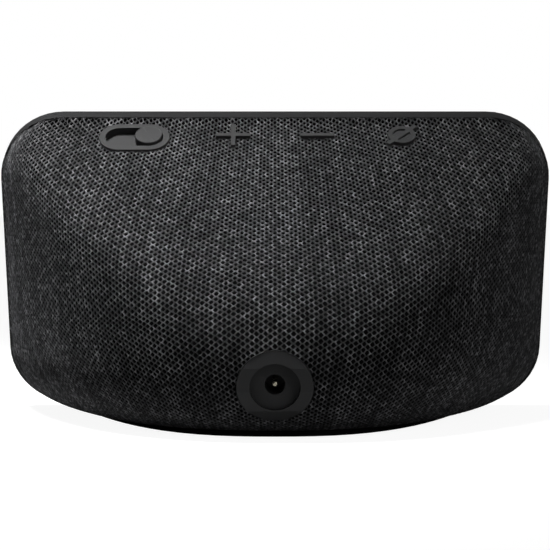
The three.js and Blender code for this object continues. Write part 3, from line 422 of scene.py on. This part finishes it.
def surface(across, z):
    """The point of the cover at a share of the half width, from -1 to 1, and a height."""
    across = np.clip(across, -1, 1)
    z = np.clip(z, BOTTOM, RIM_TOP)
    wall = (REAR - tuck(z) - rim_y(z)) * (1 - np.abs(across) ** PLAN_POWER) ** PLAN_FULLNESS
    roof = np.maximum(rim_y(RIM_TOP) + (RIM_TOP - z) / math.tan(SLOPE) - rim_y(z), 0)
    blend = ROLL * np.tanh((wall + roof) / ROLL) + 1e-9
    share = np.maximum(blend - np.abs(wall - roof), 0) / blend
    depth = np.minimum(wall, roof) - share**3 * blend / 6  # the smaller of the two, rounded over
    x = rim_half_width(z) * across
    out_x, out_up = outwards(x, z)
    swell = EDGE_SWELL * np.exp(-depth / EDGE_REACH)
    z_out = z + swell * out_up * math.cos(LEAN)
    return np.stack([x + swell * out_x, rim_y(z_out) + depth, z_out], axis=-1)


middle = surface(np.zeros(5), np.linspace(RIM_TOP, BOTTOM, 5))
print("middle of the back, top to bottom", np.round(middle[:, 1:], 1).tolist())

# %% [markdown]
# The knit has columns that run down and rows that run across. A column starts at the top edge and
# fans out as the cover widens, so its pitch depends on height. A row keeps an even distance from the
# next along the cloth, but it arches up towards the corners on the roof and sags round the sides. Two
# short lists say how much at which height, and everything between is interpolated.

# %% Pitch of the columns and rise of the rows
ROW_PITCH = 1.55
PITCH_AT = (
    [2, 10, 15, 21, 27, 34, 41, 48, 56, 64, 71, 80],
    [0.84, 0.93, 1.0, 1.07, 1.11, 1.1, 1.07, 1.04, 1.0, 0.95, 0.91, 0.86],
)
RISE_AT = ([2, 12, 21, 34, 48, 64, 72, 80], [0, -1.5, -3.2, -4.7, 0.4, 5.2, 6.5, 7.2])
RISE_WITHIN = 56  # how far out a row reaches its full rise
print("pitch of a row", ROW_PITCH, "mm, of a column", min(PITCH_AT[1]), "to", max(PITCH_AT[1]))

# %% [markdown]
# Cloth is measured along itself, not straight across. A grid over the surface is summed up along its
# rows and down its middle, which gives tables of girth and fall to look things up in.

# %% Measuring the cloth
GRID = 240
heights = RIM_TOP - (RIM_TOP - BOTTOM) * (1 - np.cos(np.linspace(0, np.pi, GRID))) / 2
shares = np.sin(np.linspace(0, np.pi / 2, GRID))
sheet_grid = surface(*np.meshgrid(shares, heights))
steps = np.linalg.norm(np.diff(sheet_grid[..., :2], axis=1), axis=-1)
girth = np.concatenate([np.zeros((GRID, 1)), np.cumsum(steps, axis=1)], axis=1)
spine = surface(np.zeros(GRID), heights)
fall = np.concatenate([[0], np.cumsum(np.linalg.norm(np.diff(spine, axis=0), axis=1))])
girths = np.linspace(0, girth.max() * 1.03, 2 * GRID)
PAST_EDGE = 1.3  # any share above one marks a place past the edge
share_at = np.array([np.interp(girths, row, shares, right=PAST_EDGE) for row in girth])
print("cloth: down the middle", round(fall[-1], 1), "mm, half girth", round(girth.max(), 1), "mm")

# %% [markdown]
# A stitch is known by its column and row. Its height depends on how far out it lies, and how far out it
# lies depends on its height, so a few rounds of the same sum settle both.


# %% From column and row to a place
def share_for(girth_wanted, z):
    """The share of the half width at which the cloth's horizontal girth reaches a length."""
    row = np.interp(z, heights[::-1], np.arange(GRID)[::-1])
    column = girth_wanted / (girths[1] - girths[0])
    r0 = np.clip(row.astype(int), 0, GRID - 2)
    c0 = np.clip(column.astype(int), 0, 2 * GRID - 2)
    fr, fc = row - r0, np.clip(column - c0, 0, 1)
    top = share_at[r0, c0] * (1 - fc) + share_at[r0, c0 + 1] * fc
    low = share_at[r0 + 1, c0] * (1 - fc) + share_at[r0 + 1, c0 + 1] * fc
    return top * (1 - fr) + low * fr


def on_cloth(column, row):
    """The share and height of a place in the knit, counted in columns and rows."""
    start = np.interp(row * ROW_PITCH, fall, heights)
    start = start - np.minimum(row, 0) * ROW_PITCH * math.sin(SLOPE)
    start = start - np.maximum(row * ROW_PITCH - fall[-1], 0)
    z = start
    for _ in range(8):
        share = share_for(np.abs(column) * np.interp(z, *PITCH_AT), z)
        x = np.minimum(share, 1) * rim_half_width(np.clip(z, BOTTOM, RIM_TOP))
        out = np.clip(x / RISE_WITHIN, 0, 1)
        z = start + np.interp(start, *RISE_AT) * out**2 * (3 - 2 * out)
    return share * np.sign(column), z


corner_share, corner_z = on_cloth(np.array([50.0]), np.array([10.0]))
print("column 50, row 10: share", corner_share.round(2), "height", corner_z.round(1))

# %% [markdown]
# The keys, the slider and the power inlet come up through openings. An opening is described by how far
# a place lies outside its edge, which is negative inside. Boxes and discs joined by their smaller
# distance make a plus, a minus and a crossed ring.

# %% Outlines of the keys and the slider
KEY_ROW, SLOT_ROW = 7.3, 7.9  # down the roof from its top edge
KEY_ARM, KEY_HALF_BAR = 4.5, 0.575
MUTE_RADIUS, MUTE_HALF_SLASH, MUTE_HALF_BAR = 3.65, 5.3, 0.65
BEZEL_HALF = 5.45  # half the height of the slider's bezel
ring_low, ring_high = (np.array(corner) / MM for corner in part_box("slider_bezel"))


def across_of(name):
    """How far a node's middle lies to the side."""
    low, high = (np.array(corner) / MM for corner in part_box(name))
    return (low[0] + high[0]) / 2


def box_distance(x, y, half_x, half_y, radius=0.0):
    dx = np.abs(x) - half_x + radius
    dy = np.abs(y) - half_y + radius
    outside = np.hypot(np.maximum(dx, 0), np.maximum(dy, 0))
    return outside + np.minimum(np.maximum(dx, dy), 0) - radius


def key_distance(x, y):
    """How far a place on the roof lies outside the nearest key or the slider."""
    slider_x, slider_y = x - across_of("slider_bezel"), y - SLOT_ROW
    y = y - KEY_ROW
    plus_x, minus_x, mute_x = (x - across_of(f"button_{key}") for key in ("plus", "minus", "mute"))
    plus = np.minimum(
        box_distance(plus_x, y, KEY_ARM, KEY_HALF_BAR),
        box_distance(plus_x, y, KEY_HALF_BAR, KEY_ARM),
    )
    minus = box_distance(minus_x, y, KEY_ARM, KEY_HALF_BAR)
    along, off = (mute_x + y) * math.sqrt(0.5), (y - mute_x) * math.sqrt(0.5)
    slash = box_distance(along, off, MUTE_HALF_SLASH, MUTE_HALF_BAR)
    mute = np.minimum(np.hypot(mute_x, y) - MUTE_RADIUS, slash)
    half = (ring_high[0] - ring_low[0]) / 2
    slider = box_distance(slider_x, slider_y, half, BEZEL_HALF, BEZEL_HALF - 0.01)
    return np.minimum(np.minimum(plus, minus), np.minimum(mute, slider))


plus_depth = float(key_distance(across_of("button_plus"), KEY_ROW))
print("from the middle of the plus key to its edge", round(plus_depth, 3))

# %% [markdown]
# The keys lie in the plane of the roof and the inlet in a plane that droops a little, so a point of the
# cloth is first turned into each opening's own plane. A corner of the mesh that lands inside an opening
# then slides out to its edge, so the cloth ends neatly against each key.

# %% Openings on the cloth
roof_axis = np.array([0, math.cos(SLOPE), -math.sin(SLOPE)])
roof_origin = np.array([0, rim_y(RIM_TOP), RIM_TOP])
JACK_HEIGHT, JACK_RING, JACK_DROOP = 14.0, 9.3, math.radians(7)
jack_up = np.array([0, math.sin(JACK_DROOP), math.cos(JACK_DROOP)])
jack_place = surface(np.zeros(1), np.array([JACK_HEIGHT]))[0]
KEYS_ABOVE = 60  # only the roof has keys
JACK_BEHIND = 20  # and only the back has the inlet
FAR = 99
CLEAR = 0.12  # left between the cloth and what it goes round
NUDGE = 0.02


def opening_distance(points):
    """How far points of the cloth lie outside the nearest opening."""
    down_roof = (points - roof_origin) @ roof_axis
    from_key = np.where(points[:, 2] > KEYS_ABOVE, key_distance(points[:, 0], down_roof), FAR)
    from_jack = np.hypot(points[:, 0], (points - jack_place) @ jack_up) - JACK_RING
    return np.where(points[:, 1] > JACK_BEHIND, np.minimum(from_key, from_jack), from_key)


def slide_out(points, normals):
    """Moves points that fall inside an opening along the cloth to its edge."""
    for _ in range(3):
        here = opening_distance(points)
        inside = here < CLEAR
        moved = points[inside]
        slope = np.zeros_like(moved)
        for axis in range(3):
            ahead = moved.copy()
            ahead[:, axis] += NUDGE
            slope[:, axis] = (opening_distance(ahead) - here[inside]) / NUDGE
        n = normals[inside]
        slope -= n * np.sum(slope * n, axis=1, keepdims=True)
        length = np.maximum(np.linalg.norm(slope, axis=1, keepdims=True), 0.2)
        points[inside] = moved + slope / length * (CLEAR - here[inside])[:, None]
    return points


print("inlet's middle", jack_place.round(1))

# %% [markdown]
# Now the knit. Its cells are hexagons that interlock, half a row apart in neighbouring columns. The
# yarn runs along the ridges that neighbours share, so each cell owns the two ridge corners below it and
# borrows the other four. Small random shifts keep it from looking like machined mesh. The cells that
# lie past an edge or inside an opening are left out.

# %% Which cells the cloth has
rng = np.random.default_rng(7)
COLUMNS = 118  # on each side of the middle
FIRST_ROW = -6
LAST_ROW = int(fall[-1] / ROW_PITCH) + 8
RIDGE_CORNER = 0.2  # of a column, from the middle of a ridge to its corners
ROOM_AT_TOP = 0.45  # how far past the top edge the middle of a cell may lie
ROOM_AT_KEY = -0.15  # and how far inside an opening

all_columns, all_rows = np.arange(-COLUMNS, COLUMNS + 1), np.arange(FIRST_ROW, LAST_ROW)
column, row = np.meshgrid(all_columns, all_rows, indexing="ij")
middle_row = row + 0.5 * (column % 2)
ridge_across = np.stack([column - RIDGE_CORNER, column + RIDGE_CORNER], axis=-1)
ridge_across = ridge_across + rng.normal(0, 0.035, ridge_across.shape)
ridge_down = np.stack([middle_row + 0.5] * 2, axis=-1) + rng.normal(0, 0.03, ridge_across.shape)

share, height = on_cloth(column.ravel().astype(float), middle_row.ravel())
alive = (np.abs(share) < 1) & (height < RIM_TOP + ROOM_AT_TOP) & (height > BOTTOM)
alive = alive & (opening_distance(surface(share, height)) > ROOM_AT_KEY)
alive = alive.reshape(column.shape)
alive[[0, -1], :] = False
alive[:, [0, -1]] = False
cell_i, cell_j = np.nonzero(alive)
print("cells", len(cell_i), "of", column.size)

# %% [markdown]
# Each cell's six ridge corners are looked up by number, going round the cell, so that two neighbours
# name the same corner and the yarn between them is one piece.

# %% Ridge corners of each cell
corner_number = np.arange(ridge_across.size).reshape(ridge_across.shape)
side_row = cell_j - 1 + column[cell_i, cell_j] % 2
ring = np.stack(
    [
        corner_number[cell_i, cell_j, 0],
        corner_number[cell_i, cell_j, 1],
        corner_number[cell_i + 1, side_row, 0],
        corner_number[cell_i, cell_j - 1, 1],
        corner_number[cell_i, cell_j - 1, 0],
        corner_number[cell_i - 1, side_row, 1],
    ],
    axis=1,
)
used, ring = np.unique(ring.ravel(), return_inverse=True)
ring = ring.reshape(-1, 6)
ridge = np.stack([ridge_across.ravel(), ridge_down.ravel()], axis=-1)[used]
print("ridge corners", len(ridge), "shared by", ring.size)

# %% [markdown]
# Inside each hexagon sits the open hole of the stitch, a smaller hexagon with softened ends. No two
# holes are quite the same size.

# %% Holes of the stitches
HOLE = (0.47, 0.33)  # half its width in columns and half its height in rows
HOLE_SHAPE = np.array(
    [[-0.2, 0.5], [0.2, 0.5], [0.8, 0], [0.2, -0.5], [-0.2, -0.5], [-0.8, 0]]
) * [HOLE[0] / 0.8 * 1.05, HOLE[1] / 0.5]
HOLE_SHAPE[[0, 1, 3, 4], 0] *= 1.25
size = rng.uniform(0.86, 1.12, (len(cell_i), 1, 1))
cell_middle = np.stack([column[cell_i, cell_j], middle_row[cell_i, cell_j]], axis=-1)
hole = cell_middle[:, None] + HOLE_SHAPE[None] * size
hole = hole + rng.normal(0, 0.02, hole.shape)
print("hole corners", hole.shape[0] * hole.shape[1])

# %% [markdown]
# The flat pattern is laid onto the surface. Ridges stay near the top of the cloth and the holes' edges
# sink in, which turns every cell into a little funnel with a wall of yarn.

# %% The pattern laid on the surface
RIDGE_IN, HOLE_IN = 0.03, 0.42
FRAME_GAP = 0.05


def cloth_normal(share, z):
    step_across, step_up = 0.004, 0.03
    share = np.clip(share, -1 + 2 * step_across, 1 - 2 * step_across)
    z = np.clip(z, BOTTOM + 0.05, RIM_TOP - 0.3)
    along_x = surface(share + step_across, z) - surface(share - step_across, z)
    along_z = surface(share, z + step_up) - surface(share, z - step_up)
    normal = np.cross(along_z, along_x)
    return normal / np.linalg.norm(normal, axis=-1, keepdims=True)


places = np.concatenate([ridge, hole.reshape(-1, 2)])
share, height = on_cloth(places[:, 0], places[:, 1])
normals = cloth_normal(share, height)
inset = np.full(len(places), HOLE_IN)
inset[: len(ridge)] = RIDGE_IN + rng.uniform(0, 0.09, len(ridge))
inset[len(ridge) :] += rng.normal(0, 0.05, len(places) - len(ridge))
points = slide_out(surface(share, height), normals) - normals * inset[:, None]
points[:, 1] = np.maximum(points[:, 1], rim_y(points[:, 2]) + FRAME_GAP)
print("corners", len(points), "lowest", points[:, 2].min().round(2))

# %% [markdown]
# Six four-sided walls join a cell's ridge to its hole, and a floor closes the hole. The floor is the
# dark cloth that a speaker cover has behind its knit. Each ridge corner gets a share of pale filament,
# and some columns are paler than others, as in a warp knit, where each column has its own strand. The
# corners round each hole get very little, which is painted shade down in the funnels.

# %% Faces and filaments
first = len(ridge) + 6 * np.arange(len(cell_i))[:, None]
floors = first + np.arange(6)[None, :]
wall_sets = []
for k in range(6):
    n = (k + 1) % 6
    wall_sets.append(np.concatenate([ring[:, [k]], ring[:, [n]], first + n, first + k], axis=1))
walls = np.concatenate(wall_sets)
pale_and_hole_shade = 0.15 + 0.85 * rng.random(len(places)) ** 3
strand = rng.uniform(0.55, 1.45, len(all_columns))
pale_and_hole_shade[: len(ridge)] *= strand[used // (2 * len(all_rows))]
# The holes' edges keep only eight per cent of their pale filament: painted shade in each funnel.
pale_and_hole_shade[len(ridge) :] *= 0.08
print("walls", len(walls), "floors", len(floors), "mean share of pale filament", pale_and_hole_shade.mean().round(2))

# %% [markdown]
# The mesh is made straight from these lists, with one material for the yarn and one for the floors. It
# rides on the housing and stands in for the plain solid of the cover.


# %% The knitted cover
def mesh_from(name, points, face_sets, materials):
    mesh = bpy.data.meshes.new(name)
    faces = [face for group in face_sets for face in group.tolist()]
    mesh.from_pydata((points * MM).tolist(), [], faces)
    slots = np.concatenate([np.full(len(group), k) for k, group in enumerate(face_sets)])
    for finish in materials:
        mesh.materials.append(finish)
    mesh.polygons.foreach_set("material_index", slots)
    mesh.polygons.foreach_set("use_smooth", np.ones(len(slots), dtype=bool))
    mesh.update()
    piece = bpy.data.objects.new(name, mesh)
    bpy.context.scene.collection.objects.link(piece)
    return piece


scrim = moulded("Dark acoustic scrim", (0.002, 0.002, 0.0021), 0.95, 6000, 0.00001, shine=0.0)
knit = mesh_from("knitted_cover", points, [walls, floors], [finishes["knit"], scrim])
thread = knit.data.attributes.new("pale_filament_and_hole_shade", "FLOAT", "POINT")
thread.data.foreach_set("value", pale_and_hole_shade.astype(np.float32))
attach(knit, "housing")
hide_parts("knit_cover")

# %% [markdown]
# One soft lamp stands above and to one side. Its spread is narrow, which gathers its light, so a small
# power is enough. It points past the near end of the roof, so the roof is brightest there and falls
# off along its length. A second lamp stands behind on the other side. It has more power but throws it
# all round, so little of it lands, just enough to keep the far end from going black.


# %% Lamps
def lamp(name, place, target, size, power, spread=180):
    light = bpy.data.lights.new(name, "AREA")
    light.shape = "RECTANGLE"
    light.size, light.size_y = size
    light.energy = power
    light.spread = math.radians(spread)
    holder = bpy.data.objects.new(name, light)
    bpy.context.scene.collection.objects.link(holder)
    holder.location = place
    holder.rotation_euler = (Vector(target) - Vector(place)).to_track_quat("-Z", "Y").to_euler()
    return holder


key = lamp("soft key", (0.2, 0.22, 0.75), (0.095, 0, 0.06), (0.22, 0.22), 0.37, 24)
fill = lamp("back fill", (-0.4, 0.6, 0.25), (0, 0, 0.04), (0.4, 0.4), 0.9)
print("lamps", key.name, key.data.energy, fill.name, fill.data.energy)

# %% [markdown]
# A white surround that lit the display would wash out its dark cloth. So the surround and the floor
# look white to the camera only, and the rays that light the display find them dim.

# %% Surround and floor
SURROUND_LIGHT = 0.085


def seen_white(tree, socket, bright, dim):
    """Gives the camera a brighter value than the rays that light the display."""
    light_path = add(tree, "ShaderNodeLightPath")
    value = map_range(tree, light_path.outputs["Is Camera Ray"], 0, 1, dim, bright)
    tree.links.new(value, socket)


world = bpy.data.worlds.new("bright surround")
bpy.context.scene.world = world
world.use_nodes = True
surround = world.node_tree.nodes["Background"]
surround.inputs["Color"].default_value = (1, 1, 1, 1)
seen_white(world.node_tree, surround.inputs["Strength"], 1.0, SURROUND_LIGHT)

floor_finish = moulded("Pale floor", (0.3, 0.3, 0.3), 0.8, 120, 0.00001, 0.01, shine=0.0)
floor_shader = floor_finish.node_tree.nodes["Principled BSDF"]
floor_shader.inputs["Emission Color"].default_value = (1, 1, 1, 1)
seen_white(floor_finish.node_tree, floor_shader.inputs["Emission Strength"], 0.92, 0.0)
bpy.ops.mesh.primitive_plane_add(size=6, location=(0, 0, 0))
floor = bpy.context.object
floor.name = "floor"
floor.data.materials.append(floor_finish)
bpy.context.scene.view_settings.view_transform = "Standard"
print("surround", world.name, "floor", tuple(floor.dimensions))

# %% [markdown]
# The camera stands behind the display, about half a metre away and a little above half its height. It
# looks slightly down. A long lens at this distance keeps the perspective gentle.

# %% Camera
EYE_BEHIND, EYE_HEIGHT = 0.5273, 0.0642
LOOKS_DOWN = math.radians(2.736)
eye = bpy.data.cameras.new("eye")
eye.lens = 132.9
eye.sensor_width = 36
eye_holder = bpy.data.objects.new("eye", eye)
bpy.context.scene.collection.objects.link(eye_holder)
eye_holder.location = (0, EYE_BEHIND, EYE_HEIGHT)
eye_holder.rotation_euler = (math.pi / 2 - LOOKS_DOWN, 0, math.pi)
bpy.context.scene.camera = eye_holder
print("camera", tuple(round(c, 3) for c in eye_holder.location), "lens", round(eye.lens, 1))
